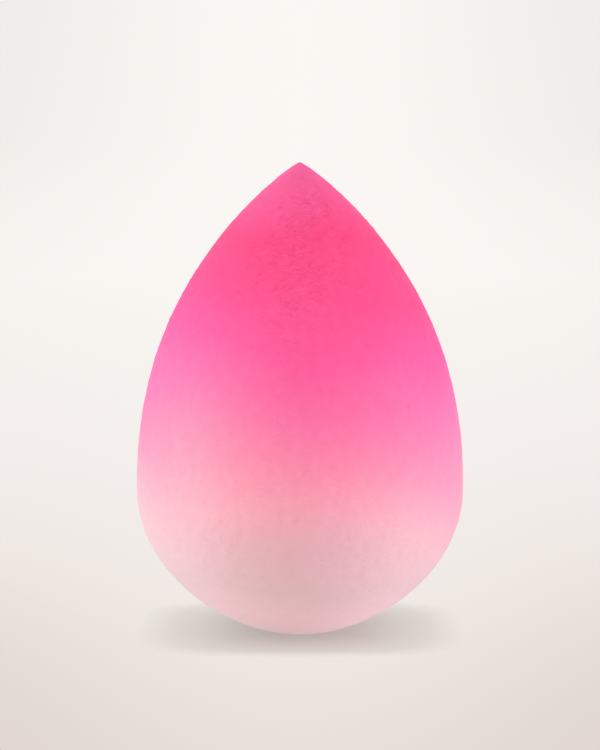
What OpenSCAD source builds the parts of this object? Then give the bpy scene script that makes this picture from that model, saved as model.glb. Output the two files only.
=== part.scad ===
// Teardrop makeup sponge of open-cell foam. Two pours of foam share one mould: a hot pink one
// fills the tip and rises in a shallow crown, and a pale one fills the round end on top of it.
// The two knit where they meet. Millimetres. The origin is the centre of the flat that the
// sponge stands on, and +Z runs up to the tip.

/* [Body] */
// Height from the flat underside to the tip
sponge_h = 60; // [52:0.5:80]
// Diameter at the girth, where the sponge is widest
sponge_d = 41.7; // [30:0.1:60]
// Height of the girth above the flat underside
girth_h = 18; // [13:0.5:26]
// How far the round underside is pressed flat where the sponge stands
foot_press = 0.5; // [0.2:0.1:1.5]

/* [Bond] */
// Height of the bond line, where the two pours meet at the surface
bond_h = 22; // [12:0.5:34]
// How far the crown of the pink pour reaches below the bond line, on the axis
bond_crown = 3.5; // [1:0.5:8]

/* [Hidden] */

// Powers of the outline: the first of each pair sets how full the curve stays, the second how
// bluntly it closes on the axis. They have no unit.
shoulder_power = 2.27;
tip_power = 0.876;
belly_power = 1.91;
foot_power = 0.558;

// Bands in the outline above and below the bond line, and in the crown
tip_bands = 40;
base_bands = 24;
crown_bands = 10;
$fn = 96;

tip_run = sponge_h - girth_h;
belly_run = girth_h + foot_press;
bond_r = outline_r(bond_h);

// Radius of the sponge at height z: a power curve from the girth up to the tip, and another
// from the girth down to the round end, which the flat underside cuts off
function outline_r(z) = z < girth_h
    ? sponge_d / 2 * pow(1 - pow((girth_h - z) / belly_run, belly_power), foot_power)
    : sponge_d / 2 * pow(1 - pow((z - girth_h) / tip_run, shoulder_power), tip_power);

// Outline points from height low up to height high, closest together at both ends
function outline(low, high, bands) = [
    for (i = [0 : bands])
        let (z = low + (high - low) * (1 - cos(180 * i / bands)) / 2)
        [outline_r(z), z]
];

// Points on the crown at the band edges given, counted from the axis out to the bond line
function crown(edges) = [
    for (i = edges)
        let (out_share = i / crown_bands)
        [bond_r * out_share, bond_h - bond_crown * (1 - pow(out_share, 2))]
];

// The hot pink pour: the tip and shoulders, closed below by its crown
module tip_foam() {
    color([0.98, 0.34, 0.56])
        rotate_extrude()
            polygon(concat(
                outline(bond_h, sponge_h, tip_bands),
                crown([0 : crown_bands - 1])
            ));
}

// The pale pour: the round end, flat where it stands and dished where the crown fills it
module base_foam() {
    color([0.93, 0.74, 0.76])
        rotate_extrude()
            polygon(concat(
                [[0, 0]],
                outline(0, bond_h, base_bands),
                crown([crown_bands - 1 : -1 : 0])
            ));
}

tip_foam();
base_foam();
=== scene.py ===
# Teardrop makeup sponge: hot pink foam in the tip, pale foam in the round end, dyed into each other.
# Metres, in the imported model's own frame: the sponge stands on z = 0 and its tip points up.
from math import cos, pi, radians, sin

import bmesh
import bpy
import numpy as np
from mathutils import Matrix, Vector, noise


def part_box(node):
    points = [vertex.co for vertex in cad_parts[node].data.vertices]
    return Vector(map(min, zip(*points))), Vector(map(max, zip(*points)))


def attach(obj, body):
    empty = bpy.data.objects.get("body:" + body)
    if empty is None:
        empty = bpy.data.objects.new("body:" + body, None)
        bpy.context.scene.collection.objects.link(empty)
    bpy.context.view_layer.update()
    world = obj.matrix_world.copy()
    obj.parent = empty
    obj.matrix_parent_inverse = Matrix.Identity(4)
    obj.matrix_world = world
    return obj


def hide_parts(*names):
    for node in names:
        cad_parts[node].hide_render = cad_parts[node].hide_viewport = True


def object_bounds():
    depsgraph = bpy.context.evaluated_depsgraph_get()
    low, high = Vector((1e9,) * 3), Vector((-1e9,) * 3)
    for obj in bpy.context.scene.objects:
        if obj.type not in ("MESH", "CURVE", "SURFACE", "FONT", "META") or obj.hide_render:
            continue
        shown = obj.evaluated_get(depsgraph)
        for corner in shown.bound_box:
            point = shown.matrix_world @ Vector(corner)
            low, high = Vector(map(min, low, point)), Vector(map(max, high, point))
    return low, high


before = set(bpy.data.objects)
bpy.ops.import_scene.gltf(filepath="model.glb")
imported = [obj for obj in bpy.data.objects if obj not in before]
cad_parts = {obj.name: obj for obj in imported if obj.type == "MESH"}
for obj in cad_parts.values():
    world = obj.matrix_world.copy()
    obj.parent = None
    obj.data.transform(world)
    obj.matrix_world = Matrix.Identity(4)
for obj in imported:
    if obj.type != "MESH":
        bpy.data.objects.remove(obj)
cadLow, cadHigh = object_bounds()
mm = 0.001
weld = 0.0001 * mm  # points closer together than this become one

girthRadius, tipHeight = cadHigh.x, cadHigh.z
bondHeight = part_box("base_foam")[1].z  # where the two foams meet at the surface
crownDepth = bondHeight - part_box("tip_foam")[0].z  # how far the pink foam bulges below that


# Camera

photoView = {
    "lens": 120,  # mm, on a 36 mm sensor
    "clip": (10 * mm, 10),
    "distance": 0.3185,
    "elevation": radians(8),
    "aimHeight": 32.9 * mm,
}


def addCamera():
    data = bpy.data.cameras.new("photoCamera")
    data.lens = photoView["lens"]
    data.clip_start, data.clip_end = photoView["clip"]
    camera = bpy.data.objects.new("photoCamera", data)
    bpy.context.scene.collection.objects.link(camera)
    tilt = photoView["elevation"]
    back = Vector((0, -cos(tilt), sin(tilt)))
    camera.location = Vector((0, 0, photoView["aimHeight"])) + back * photoView["distance"]
    camera.rotation_euler = (-back).to_track_quat("-Z", "Y").to_euler()
    bpy.context.scene.camera = camera


# Shape of the sponge

outline = {
    "girthHeight": 18 * mm,  # where the sponge is widest
    "footPress": 0.5 * mm,  # how far the round end is pressed flat
    "shoulderPowers": (2.27, 0.876),  # fullness above the girth, bluntness of the tip
    "bellyPowers": (1.91, 0.558),  # the same below the girth
    "rowPitch": 0.21 * mm,  # along the outline
    "runPoints": 4001,  # heights at which the length of the outline is measured
    "turnSteps": 440,  # faces round the sponge
    "crownRows": 8,
}


def outlineRadius(height):
    girth = outline["girthHeight"]
    up = np.clip((height - girth) / (tipHeight - girth), 0, 1)
    down = np.clip((girth - height) / (girth + outline["footPress"]), 0, 1)
    full, blunt = outline["shoulderPowers"]
    shoulder = (1 - up ** full) ** blunt
    full, blunt = outline["bellyPowers"]
    belly = (1 - down ** full) ** blunt
    return girthRadius * np.minimum(shoulder, belly)


def evenHeights(low, high):
    # Heights whose rows lie one pitch apart along the curved outline
    fine = low + (high - low) * (1 - np.cos(np.linspace(0, pi, outline["runPoints"]))) / 2
    run = np.hypot(np.diff(outlineRadius(fine)), np.diff(fine)).cumsum()
    run = np.insert(run, 0, 0)
    rows = round(run[-1] / outline["rowPitch"])
    return np.interp(np.linspace(0, run[-1], rows + 1), run, fine)


# Relief of the foam's skin

relief = {
    "seed": 7,  # sets how the wrinkles bend, the same in every run
    "waverSize": 9 * mm,
    "waverHeight": 0.03 * mm,
    "bumpSize": (0.95 * mm, 1.4 * mm),  # soft bumps, along and up
    "bumpHeight": 0.045 * mm,
    "bumpShade": (0.14, 0.34),  # how much painted shade and light they get beside the wrinkles, low down and higher up
    "bumpRise": (14 * mm, 28 * mm),  # the heights between which that changes
    "wrinkleSize": (0.9 * mm, 0.5 * mm),  # along and up
    "wrinkleBend": 0.6,  # how far they are bent out of line, in sizes of their own
    "wrinklePeak": (0.3, 1.8),  # how much of their noise stays as it is, and how much its square adds
    "wrinkleHeight": 0.07 * mm,
    "wrinkleShade": 0.5,  # how much painted shade and light they get
    "patchSize": 13 * mm,  # the skin is more crinkled in patches of this size
    "patchPlace": Vector((29.6, 8.8, 28.7)),  # moves the patches about
    "patchEdge": (-0.25, 0.3),  # values of their noise at which they begin and are full
    "calm": 0.15,  # how crinkled it is between them
    "lowCrinkle": 0.25,  # how crinkled the round end is beside the tip
    "crinkleRise": (32 * mm, 44 * mm),  # the heights between which that changes
    "pitCell": 2.2 * mm,  # at most one pit in each space of this size
    "pitChance": (0.4, 0.7),  # a space draws a number: no pit below the first, a full one above the second
    "pitShuffle": 31,  # spreads those numbers out
    "pitRadius": 0.3 * mm,
    "pitDepth": 0.1 * mm,
    "flatFade": 15 * mm,  # the relief grows over this height above the flat underside
}


def smoothStep(low, high, value):
    share = min(max((value - low) / (high - low), 0), 1)
    return share * share * (3 - 2 * share)


def between(start, end, share):
    return start + (end - start) * share


def peaked(value):
    # Flattens the middle of a noise, so that its highs and lows stand out as short marks
    plain, squared = relief["wrinklePeak"]
    return value * (plain + squared * abs(value))


def squeeze(place, size):
    # The place counted in sizes of a pattern that differ along and up the sponge
    along, up = size
    return Vector((place.x / along, place.y / along, place.z / up))


def reliefAt(place):
    # How far the skin moves outwards there, the painted shade and light of its bumps and wrinkles, from -1
    # in the furrows to 1 on the ridges, how deep it lies in a pit and how crinkled it is, both from 0 to 1
    waver = noise.noise(place / relief["waverSize"])
    patchNoise = noise.noise(place / relief["patchSize"] + relief["patchPlace"])
    patch = smoothStep(*relief["patchEdge"], patchNoise)
    upper = smoothStep(*relief["crinkleRise"], place.z)
    crinkle = between(relief["calm"], 1, patch) * between(relief["lowCrinkle"], 1, upper)
    straight = squeeze(place, relief["wrinkleSize"])
    bent = straight + noise.noise_vector(straight) * relief["wrinkleBend"]
    wrinkle = crinkle * peaked(noise.noise(bent))
    bump = noise.noise(squeeze(place, relief["bumpSize"]))
    bumpShade = between(*relief["bumpShade"], smoothStep(*relief["bumpRise"], place.z))
    reach, centres = noise.voronoi(place / relief["pitCell"])
    present = smoothStep(*relief["pitChance"], noise.cell(centres[0] * relief["pitShuffle"]))
    pit = present * (1 - smoothStep(0, relief["pitRadius"] / relief["pitCell"], reach[0]))
    fade = smoothStep(0, relief["flatFade"], place.z)
    move = (
        relief["waverHeight"] * waver
        + relief["wrinkleHeight"] * wrinkle
        + relief["bumpHeight"] * bump
        - relief["pitDepth"] * pit
    )
    shade = relief["wrinkleShade"] * wrinkle + bumpShade * bump
    return move * fade, shade * fade, pit * fade, crinkle * fade


def turnedShape(profile, steps):
    # A flat sheet rolled round the axis, with each of its rows at one radius and height of the profile
    made = bmesh.new()
    rows = len(profile) - 1
    bmesh.ops.create_grid(made, x_segments=steps, y_segments=rows, size=1)
    for vert in made.verts:
        turn = pi * vert.co.x
        radius, height = profile[round((vert.co.y + 1) / 2 * rows)]
        vert.co = (radius * sin(turn), -radius * cos(turn), height)
    bmesh.ops.remove_doubles(made, verts=made.verts, dist=weld)  # closes the roll and the poles
    bmesh.ops.recalc_face_normals(made, faces=made.faces)
    return made


def makeSkin():
    # One skin from the middle of the flat underside up to the tip, with its relief
    noise.seed_set(relief["seed"])
    lower = evenHeights(0, bondHeight)
    heights = np.concatenate([lower[:-1], evenHeights(bondHeight, tipHeight)])
    radii = outlineRadius(heights)
    flat = np.linspace(0, radii[0], round(radii[0] / outline["rowPitch"]), endpoint=False)
    profile = [(radius, 0) for radius in flat] + list(zip(radii, heights))
    skin = turnedShape(profile, outline["turnSteps"])
    for face in skin.faces:
        face.smooth = True
        face.select = face.calc_center_median().z > bondHeight  # marks the tip's half
    skin.normal_update()
    # Painted shade and light that the material gives the bumps and wrinkles
    paintedReliefShade = skin.verts.layers.float.new("paintedReliefShade")
    pit = skin.verts.layers.float.new("pit")
    crinkle = skin.verts.layers.float.new("crinkle")
    wander = skin.verts.layers.float.new("wander")
    outwards = [vert.normal.copy() for vert in skin.verts]
    for vert, normal in zip(skin.verts, outwards):
        vert[wander] = noise.noise(vert.co / foamFinish["wanderSize"] + foamFinish["wanderPlace"])
        move, vert[paintedReliefShade], vert[pit], vert[crinkle] = reliefAt(vert.co)
        vert.co += normal * move
    return skin


def makePour(skin, name, isTip):
    # Half of the skin, closed by the crown where the two foams are bonded
    pour = skin.copy()
    others = [face for face in pour.faces if face.select != isTip]
    bmesh.ops.delete(pour, geom=others, context="FACES")
    rim = [edge for edge in pour.edges if edge.is_boundary]
    for edge in rim:
        edge.smooth = False  # keeps the crown's shading off the skin
    rows = outline["crownRows"]
    for row in range(rows - 1, 0, -1):
        grown = bmesh.ops.extrude_edge_only(pour, edges=rim)["geom"]
        rim = [part for part in grown if isinstance(part, bmesh.types.BMEdge) and part.is_boundary]
        share = row / rows
        for vert in {vert for edge in rim for vert in edge.verts}:
            shrink = share * girthRadius / vert.co.xy.length
            vert.co.x *= shrink
            vert.co.y *= shrink
            vert.co.z = bondHeight - crownDepth * (1 - share ** 2)
    grown = bmesh.ops.extrude_edge_only(pour, edges=rim)["geom"]
    middle = [part for part in grown if isinstance(part, bmesh.types.BMVert)]
    bmesh.ops.pointmerge(pour, verts=middle, merge_co=(0, 0, bondHeight - crownDepth))
    bmesh.ops.recalc_face_normals(pour, faces=pour.faces)
    mesh = bpy.data.meshes.new(name)
    pour.to_mesh(mesh)
    pour.free()
    piece = bpy.data.objects.new(name, mesh)
    bpy.context.scene.collection.objects.link(piece)
    return piece


# Finish of the foam

foamFinish = {
    # Height up the sponge and colour there, linear: the foam's dye, with painted shade and light in some
    # stops
    "dyeAndShade": (
        # painted light from the floor below in these two pale stops
        (0.0, (0.97, 0.737, 0.77)),
        (0.06, (0.94, 0.645, 0.675)),
        # painted shade of the down-facing lower front in these two dusky stops
        (0.14, (0.79, 0.555, 0.575)),
        (0.25, (0.78, 0.465, 0.508)),
        (0.35, (0.9, 0.354, 0.446)),
        (0.41, (0.93, 0.28, 0.412)),
        (0.53, (0.915, 0.175, 0.369)),
        (0.63, (0.91, 0.11, 0.314)),
        (0.74, (0.9, 0.08, 0.241)),
        (0.85, (0.88, 0.07, 0.208)),
        # painted light from above in this paler, lilac stop at the tip
        (1.0, (0.855, 0.125, 0.325)),
    ),
    "dyeTilt": 0.1,  # the fade lies this much lower for each length towards +X
    "wander": 2.9,  # mm, at most, that the fade wanders up or down
    "wanderSize": 14 * mm,
    "wanderPlace": Vector((14.4, 20.2, 7.5)),  # moves that pattern about
    "fadeBow": 0.003,  # how much lower the fade lies at the sides, by the square of the distance in mm
    "mottle": 0.015,  # how much lighter or darker the colour is in soft clouds
    "mottleScale": 0.35,  # clouds in a mm
    "noiseDetail": 2,  # finer steps in the clouds and in both grains
    "paintedFurrowShade": (0.94, 0.78, 0.85, 1),  # painted shade: what the colour is multiplied by in the deepest furrows
    "paintedRidgeLight": (1.04, 1.18, 1.13, 1),  # painted light: what it is multiplied by on the highest ridges
    # painted shade in the pits
    "pitShadeTone": (0.95, 0.8, 0.82, 1),
    # painted shade in the pores
    "poreShadeTone": (0.98, 0.93, 0.94, 1),
    "creaseSize": (1.0, 0.62),  # mm, along and up: creases too fine for the mesh
    "creaseBend": 0.8,  # how far their noise is bent by itself
    "creaseWidth": 0.055,  # how far from the noise's middle value they reach
    "creaseBreak": (0.46, 0.56),  # a second noise leaves them out below the first value
    "creaseBreakScale": 0.7,  # how fine that noise is beside their own
    "creaseLip": 0.22,  # mm, how far below each crease its painted lit edge lies
    "creaseDepth": 0.03,  # mm, where the skin is crinkled most
    "creaseShadeShare": 1.05,  # how much of a full furrow's painted shade they have
    "paintedLipShare": 1.0,  # how much of a full ridge's painted light the lit edge has
    "poreSize": 0.3,  # mm
    "poreReach": (0.1, 0.45),  # from a pore's middle, in sizes: full up to the first and gone at the second
    "porePatch": (0.35, 0.65),  # values of the coarse grain at which pores begin and are full
    "poreDepth": 0.02,  # mm
    "grainScale": 1.1,  # coarse grains in a mm
    "fineScale": 4.0,  # fine grains in a mm
    "grainDepth": 0.02,  # mm, of the fine ones
    "roughness": (0.86, 0.97),
    "sheenWeight": 0.12,
    "sheenRoughness": 0.5,
    "sheenTint": (0.25, 0.85, 1.0, 1),  # cool, which turns the rims lilac
    "specular": 0.0,
}


def addNode(tree, kind, inputs=None, **settings):
    made = tree.nodes.new("ShaderNode" + kind)
    for name, value in settings.items():
        setattr(made, name, value)
    for name, value in (inputs or {}).items():
        if isinstance(value, bpy.types.NodeSocket):
            tree.links.new(value, made.inputs[name])
        else:
            made.inputs[name].default_value = value
    return made


def maths(tree, operation, *values):
    # The outcome of one sum over numbers or other nodes' sockets
    return addNode(tree, "Math", dict(enumerate(values)), operation=operation).outputs[0]


def mapped(tree, value, ends, results=(0, 1), kind="LINEAR"):
    # The value carried from one range over to another, and held at its ends
    return addNode(tree, "MapRange", {
        "Value": value,
        "From Min": ends[0],
        "From Max": ends[1],
        "To Min": results[0],
        "To Max": results[1],
    }, interpolation_type=kind).outputs["Result"]


def mixed(tree, share, start, end):
    return addNode(tree, "Mix", {"Factor": share, "A": start, "B": end}).outputs["Result"]


def scaled(tree, colour, factor):
    return addNode(tree, "VectorMath", {0: colour, "Scale": factor}, operation="SCALE").outputs[0]


def stretched(tree, place, scales):
    return addNode(tree, "Mapping", {"Vector": place, "Scale": scales}).outputs["Vector"]


def noiseOver(tree, place, scale, detail, bend=0):
    inputs = {"Vector": place, "Scale": scale, "Detail": detail, "Distortion": bend}
    return addNode(tree, "TexNoise", inputs).outputs["Fac"]


def skinValue(tree, name):
    # What the mesh's points carry under that name
    return addNode(tree, "Attribute", attribute_name=name).outputs["Fac"]


def tinted(tree, colour, tone, amount):
    # The colour multiplied by the tone, as far as the amount says
    inputs = {"Fac": amount, "Color1": colour, "Color2": tone}
    return addNode(tree, "MixRGB", inputs, blend_type="MULTIPLY").outputs["Color"]


def rampOf(tree, value, stops):
    # A colour ramp over the stops' own range of values
    low, high = stops[0][0], stops[-1][0]
    ramp = addNode(tree, "ValToRGB", {"Fac": mapped(tree, value, (low, high))})
    elements = ramp.color_ramp.elements
    while len(elements) < len(stops):
        elements.new(1)
    for element, (place, colour) in zip(elements, stops):
        element.position = (place - low) / (high - low)
        element.color = (*colour, 1)
    return ramp.outputs["Color"]


def newMaterial(name):
    material = bpy.data.materials.new(name)
    material.use_nodes = True
    material.node_tree.nodes.clear()
    return material, material.node_tree


def creaseLines(tree, place):
    # 1 along thin lines where a noise crosses its middle value, which a second noise breaks into short ones
    along, up = foamFinish["creaseSize"]
    squeezed = stretched(tree, place, (1 / along, 1 / along, 1 / up))
    winding = noiseOver(tree, squeezed, 1, 0, foamFinish["creaseBend"])
    apart = maths(tree, "ABSOLUTE", maths(tree, "SUBTRACT", winding, 0.5))
    line = mapped(tree, apart, (0, foamFinish["creaseWidth"]), (1, 0), kind="SMOOTHSTEP")
    breaks = noiseOver(tree, squeezed, foamFinish["creaseBreakScale"], 0)
    return maths(tree, "MULTIPLY", line, mapped(tree, breaks, foamFinish["creaseBreak"]))


def foamMaterial(name):
    look = foamFinish
    material, tree = newMaterial(name)
    place = addNode(tree, "TexCoord").outputs["Object"]
    inMm = stretched(tree, place, (1 / mm, 1 / mm, 1 / mm))

    # The dye, with its painted shade and light, follows a height that leans, bows and wanders
    lean = addNode(tree, "VectorMath", {0: inMm, 1: (look["dyeTilt"], 0, 1)}, operation="DOT_PRODUCT")
    level = maths(tree, "MULTIPLY_ADD", skinValue(tree, "wander"), look["wander"], lean.outputs["Value"])
    across = addNode(tree, "SeparateXYZ", {0: inMm}).outputs["X"]
    level = maths(tree, "MULTIPLY_ADD", maths(tree, "MULTIPLY", across, across), look["fadeBow"], level)
    dyeAndShade = rampOf(tree, maths(tree, "DIVIDE", level, tipHeight / mm), look["dyeAndShade"])
    clouds = noiseOver(tree, inMm, look["mottleScale"], look["noiseDetail"])
    dyedAndShaded = scaled(tree, dyeAndShade, mapped(tree, clouds, (0, 1), (1 - look["mottle"], 1 + look["mottle"])))

    # Painted shade in furrows, creases and pits, and painted light on ridges and on the lit edges below the
    # creases
    crinkle = skinValue(tree, "crinkle")
    crease = creaseLines(tree, inMm)
    # Each crease is darkened with painted shade, and a painted highlight lies a little below it
    above = addNode(tree, "VectorMath", {0: inMm, 1: (0, 0, look["creaseLip"])}, operation="ADD")
    paintedLip = maths(tree, "MULTIPLY", creaseLines(tree, above.outputs["Vector"]), look["paintedLipShare"])
    creaseShadeAndLight = maths(tree, "MULTIPLY_ADD", crease, -look["creaseShadeShare"], paintedLip)
    paintedShadeAndLight = maths(tree, "MULTIPLY_ADD", creaseShadeAndLight, crinkle, skinValue(tree, "paintedReliefShade"))
    tone = addNode(tree, "MixRGB", {
        "Fac": mapped(tree, paintedShadeAndLight, (-1, 1)),
        "Color1": look["paintedFurrowShade"],
        "Color2": look["paintedRidgeLight"],
    }).outputs["Color"]
    paintedEmboss = tinted(tree, dyedAndShaded, tone, 1)
    pitShaded = tinted(tree, paintedEmboss, look["pitShadeTone"], skinValue(tree, "pit"))

    # Pores, in patches of the coarse grain, darkened with painted shade
    cells = addNode(tree, "TexVoronoi", {"Vector": inMm, "Scale": 1 / look["poreSize"]}).outputs["Distance"]
    grain = noiseOver(tree, inMm, look["grainScale"], look["noiseDetail"])
    pore = mapped(tree, cells, look["poreReach"], (1, 0))
    porous = maths(tree, "MULTIPLY", pore, mapped(tree, grain, look["porePatch"]))
    colour = tinted(tree, pitShaded, look["poreShadeTone"], porous)

    # Heights in mm, for the bump
    fine = noiseOver(tree, inMm, look["fineScale"], look["noiseDetail"])
    deep = maths(tree, "MULTIPLY", crinkle, -look["creaseDepth"])
    creasy = maths(tree, "MULTIPLY", crease, deep)
    grainy = maths(tree, "MULTIPLY_ADD", fine, look["grainDepth"], creasy)
    height = maths(tree, "MULTIPLY_ADD", porous, -look["poreDepth"], grainy)
    bump = addNode(tree, "Bump", {"Height": height, "Strength": 1, "Distance": mm})

    shader = addNode(tree, "BsdfPrincipled", {
        "Base Color": colour,
        "Roughness": mapped(tree, grain, (0, 1), look["roughness"]),
        "Specular IOR Level": look["specular"],
        "Sheen Weight": look["sheenWeight"],
        "Sheen Roughness": look["sheenRoughness"],
        "Sheen Tint": look["sheenTint"],
        "Normal": bump.outputs["Normal"],
    })
    addNode(tree, "OutputMaterial", {"Surface": shader.outputs["BSDF"]})
    return material


# Floor and backdrop

studio = {
    "floorDrop": 0.02 * mm,  # keeps the floor out of the plane of the flat underside
    "floorRadius": 1.2,
    "coveRadius": 0.5,
    "coveRows": 12,
    "wallTop": 0.9,
    "turnSteps": 96,
    # Depth behind the sponge in metres and the backdrop's glowing colour there, linear: darker towards the
    # front as painted shade
    "backdrop": (
        (-0.085, (0.765, 0.685, 0.645)),
        (-0.06, (0.79, 0.725, 0.675)),
        (-0.04, (0.82, 0.765, 0.715)),
        (-0.02, (0.845, 0.79, 0.755)),
        (0.0, (0.87, 0.815, 0.78)),
        (0.03, (0.885, 0.835, 0.805)),
        (0.09, (0.9, 0.86, 0.835)),
        (0.2, (0.92, 0.88, 0.855)),
        (0.4, (0.935, 0.9, 0.868)),
        (0.7, (0.962, 0.928, 0.9)),
    ),
    "farGain": 1.5,  # how fast far places count as deep, whichever side they lie on
    "sideDrop": 0.06,  # how much less deep, and so darker as painted shade, a place counts that is past the next distance to either side
    "sideDropReach": 0.05,
    "paintedSideShade": 0.1,  # painted shade: how much darker the backdrop is past the next distance to either side
    "sideReach": 0.25,
    # Those colours suit the front view. Outside the wedge of floor that it shows they follow distance alone
    "wedgeSlope": 0.12,  # how much wider the wedge gets on each side for each length of depth
    "wedgeHalf": 0.042,  # half its width beside the sponge
    "wedgeFront": 0.06,  # where it ends in front of the sponge
    "wedgeFade": (0.003, 0.2),  # distances past it at which the change begins and is full
    # Distance from the sponge's middle in metres, and how much of its shadow the floor shows there
    "shadow": (
        (0.004, 0.9),
        (0.012, 0.66),
        (0.0165, 0.55),
        (0.021, 0.0),
    ),
    "shadowFlatten": 1.35,  # how much faster the shadow ends towards the front and back than to the sides
    # Distance again, and a tone that takes out the pink that the sponge would throw on the floor
    "shadowTone": (
        (0.008, (0.77, 1, 0.97)),
        (0.0165, (0.86, 1, 0.98)),
    ),
    "bounce": 0.535,  # how much the floor glows under the sponge, like a light table
    "bounceReach": (0.06, 0.25),  # it glows fully up to the first distance and not past the second
    "worldColour": (1.0, 1.0, 1.0, 1),
    "worldStrength": 0.46,
    "pastColour": (0.93, 0.91, 0.88, 1),  # what shows over the backdrop's top, and through it from below
}


def addBackdrop():
    floor, cove = studio["floorRadius"], studio["coveRadius"]
    turns = np.linspace(0, pi / 2, studio["coveRows"])
    curve = [(floor + cove * sin(turn), cove * (1 - cos(turn))) for turn in turns]
    profile = [(0, 0), *curve, (floor + cove, studio["wallTop"])]
    shell = turnedShape(profile, studio["turnSteps"])
    shell.faces.ensure_lookup_table()
    if shell.faces[0].normal.z < 0:
        bmesh.ops.reverse_faces(shell, faces=shell.faces)
    bmesh.ops.translate(shell, vec=(0, 0, -studio["floorDrop"]), verts=shell.verts)
    for face in shell.faces:
        face.smooth = True
    mesh = bpy.data.meshes.new("backdrop")
    shell.to_mesh(mesh)
    shell.free()
    backdrop = bpy.data.objects.new("backdrop", mesh)
    bpy.context.scene.collection.objects.link(backdrop)
    mesh.materials.append(backdropMaterial())
    return backdrop


def seenPlainly(tree):
    # 1 for rays from the camera, a reflection or a see-through surface, and 0 for light that bounces
    rays = addNode(tree, "LightPath").outputs
    seen = maths(tree, "ADD", rays["Is Camera Ray"], rays["Is Glossy Ray"])
    seen = maths(tree, "ADD", seen, rays["Is Transmission Ray"])
    return maths(tree, "MINIMUM", seen, 1), rays["Is Camera Ray"]


def outsideWedge(tree, aside, ahead):
    # 0 in the wedge of floor that the front view shows, rising to 1 past its sides and its front
    edge = maths(tree, "MULTIPLY_ADD", ahead, studio["wedgeSlope"], studio["wedgeHalf"])
    past = maths(tree, "SUBTRACT", aside, edge)
    before = maths(tree, "SUBTRACT", -studio["wedgeFront"], ahead)
    beyond = maths(tree, "MAXIMUM", past, before)
    return mapped(tree, beyond, studio["wedgeFade"], kind="SMOOTHSTEP")


def backdropMaterial():
    material, tree = newMaterial("paleBackdrop")
    seen, fromCamera = seenPlainly(tree)
    place = addNode(tree, "TexCoord").outputs["Object"]
    away = addNode(tree, "VectorMath", {0: place}, operation="LENGTH").outputs["Value"]
    axes = addNode(tree, "SeparateXYZ", {0: place}).outputs
    aside = maths(tree, "ABSOLUTE", axes["X"])

    # Colour by depth in the front view, and by distance elsewhere, with painted shade towards the front and
    # the sides
    awaySquared = maths(tree, "MULTIPLY", away, away)
    depth = maths(tree, "MULTIPLY_ADD", awaySquared, studio["farGain"], axes["Y"])
    drop = mapped(tree, aside, (0, studio["sideDropReach"]), (0, studio["sideDrop"]), kind="SMOOTHSTEP")
    depth = maths(tree, "SUBTRACT", depth, drop)
    allRound = maths(tree, "MULTIPLY_ADD", awaySquared, studio["farGain"], away)
    outside = maths(tree, "MULTIPLY", outsideWedge(tree, aside, axes["Y"]), seen)
    base = rampOf(tree, mixed(tree, outside, depth, allRound), studio["backdrop"])
    sideShading = mapped(tree, aside, (0, studio["sideReach"]), (1, 1 - studio["paintedSideShade"]), kind="SMOOTHSTEP")
    colour = scaled(tree, base, sideShading)

    # Distance by fourth powers, which squares off the ends of the shadow
    flattened = stretched(tree, place, (1, studio["shadowFlatten"], 1))
    squares = addNode(tree, "VectorMath", {0: flattened, 1: flattened}, operation="MULTIPLY")
    fourths = addNode(tree, "VectorMath", {0: squares.outputs["Vector"]}, operation="LENGTH")
    apart = maths(tree, "SQRT", fourths.outputs["Value"])
    shaded = rampOf(tree, apart, [(reach, (share, share, share)) for reach, share in studio["shadow"]])
    tone = rampOf(tree, apart, studio["shadowTone"])

    # The floor's own glow, to the camera wherever no shadow shows and to bounced light near the sponge
    shown = maths(tree, "SUBTRACT", 1, shaded)
    bounced = mapped(tree, away, studio["bounceReach"], (studio["bounce"], 0), kind="SMOOTHSTEP")
    glow = mixed(tree, seen, bounced, shown)
    matt = addNode(tree, "BsdfDiffuse", {"Color": tinted(tree, colour, tone, seen)})
    plain = addNode(tree, "Emission", {"Color": colour, "Strength": 1})
    front = addNode(tree, "MixShader", {0: glow, 1: matt.outputs[0], 2: plain.outputs[0]})

    # From below the camera sees through it
    turned = addNode(tree, "NewGeometry").outputs["Backfacing"]
    clear = maths(tree, "MULTIPLY", fromCamera, turned)
    none = addNode(tree, "BsdfTransparent")
    surface = addNode(tree, "MixShader", {0: clear, 1: front.outputs[0], 2: none.outputs[0]})
    addNode(tree, "OutputMaterial", {"Surface": surface.outputs[0]})
    return material


def addWorld():
    world = bpy.data.worlds.new("studioWorld")
    world.use_nodes = True
    tree = world.node_tree
    tree.nodes.clear()
    sky = addNode(tree, "Background", {"Color": studio["worldColour"], "Strength": studio["worldStrength"]})
    plain = addNode(tree, "Background", {"Color": studio["pastColour"], "Strength": 1})
    both = addNode(tree, "MixShader", {0: seenPlainly(tree)[0], 1: sky.outputs[0], 2: plain.outputs[0]})
    addNode(tree, "OutputWorld", {"Surface": both.outputs[0]})
    bpy.context.scene.world = world


# Lamps. Place and size in metres, power in watts.

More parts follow.
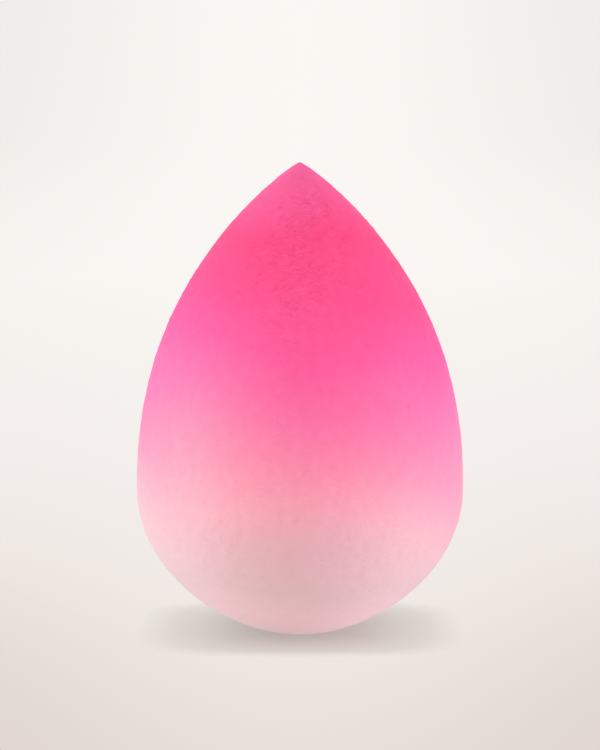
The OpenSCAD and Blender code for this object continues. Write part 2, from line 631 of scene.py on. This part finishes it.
lamps = {
    "leftLamp": {
        "place": (-0.6, -0.1, 0.24),
        "size": (0.5, 0.6),
        "power": 4.6,
        "colour": (0.9, 0.98, 1.0),
        "lights": "sponge",
    },
    "rightLamp": {
        "place": (0.6, -0.1, 0.28),
        "size": (0.5, 0.6),
        "power": 2.37,
        "colour": (0.94, 0.93, 0.955),
        "lights": "sponge",
    },
    "rightLowLamp": {
        "place": (0.6, -0.15, 0.08),
        "size": (0.4, 0.14),
        "power": 1.48,
        "colour": (0.86, 0.78, 1.0),
        "lights": "sponge",
    },
    "frontLowLamp": {
        "place": (0.0, -0.6, 0.1),
        "size": (0.6, 0.16),
        "power": 0.52,
        "colour": (1.0, 1.0, 1.0),
        "lights": "sponge",
    },
    "backLamp": {
        "place": (0.0, 0.6, 0.26),
        "size": (0.3, 0.4),
        "power": 1.5,
        "colour": (0.95, 0.97, 1.0),
        "lights": "sponge",
    },
    "floorLamp": {
        "place": (0.0, 0.0, 0.9),
        "size": (2.0, 2.0),
        "power": 10.4,
        "colour": (1.0, 1.0, 1.0),
        "lights": "stage",
    },
}


def addLamps(lit):
    for name, lamp in lamps.items():
        data = bpy.data.lights.new(name, "AREA")
        data.shape = "RECTANGLE"
        data.size, data.size_y = lamp["size"]
        data.energy = lamp["power"]
        data.color = lamp["colour"]
        fitting = bpy.data.objects.new(name, data)
        bpy.context.scene.collection.objects.link(fitting)
        fitting.location = lamp["place"]
        toSponge = Vector((0, 0, tipHeight / 2)) - fitting.location
        fitting.rotation_euler = toSponge.to_track_quat("-Z", "Y").to_euler()
        fitting.light_linking.receiver_collection = lit[lamp["lights"]]


addCamera()
print("camera placed")

lit = {name: bpy.data.collections.new(name) for name in ("sponge", "stage")}  # what each lamp lights
skin = makeSkin()
for node, isTip, slot, material in (
    ("tip_foam", True, "pink_foam", "hotPinkFoam"),
    ("base_foam", False, "pale_foam", "palePinkFoam"),
):
    pour = makePour(skin, node + "_skin", isTip)
    pour.data.materials.append(foamMaterial(material))
    lit["sponge"].objects.link(pour)
    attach(pour, "root")
    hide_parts(node)
    print(pour.name, "has", len(pour.data.polygons), "faces")
skin.free()

lit["stage"].objects.link(addBackdrop())
addWorld()
addLamps(lit)
bpy.context.scene.view_settings.view_transform = "Standard"
print("studio lit")
